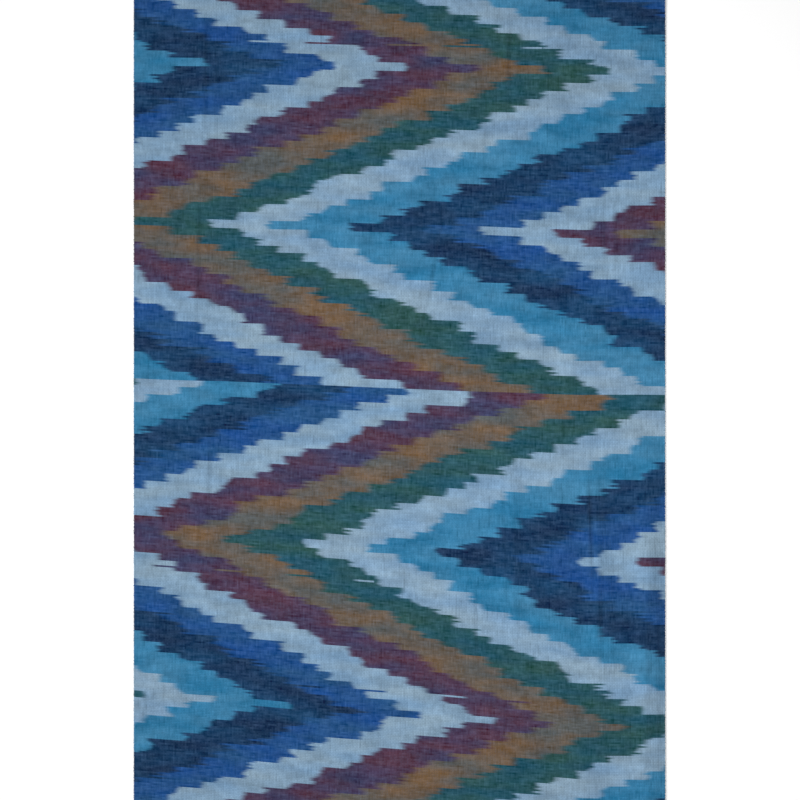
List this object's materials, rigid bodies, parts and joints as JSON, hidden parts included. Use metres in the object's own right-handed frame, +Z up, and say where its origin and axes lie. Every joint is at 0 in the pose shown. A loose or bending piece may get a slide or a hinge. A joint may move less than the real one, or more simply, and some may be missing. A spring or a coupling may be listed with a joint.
{
  "type": "ikat fabric",
  "caption": "Cut length of handwoven cotton with a weft-ikat zigzag in indigo, aqua, white, ochre and maroon, lying flat with faint creases.",
  "frame": {"origin": "on the surface that the cloth lies on, under the centre of the cloth", "axes": "+X across the cloth along its dyed weft threads, +Y along its warp threads, +Z up out of the face"},
  "size_m": [0.1328, 0.208, 0.0023],
  "materials": {
    "ikat_cotton": "plain weave, matt, space-dyed weft"
  },
  "bodies": {
    "root": {"ikat_cloth": "ikat_cotton"}
  },
  "joints": []
}
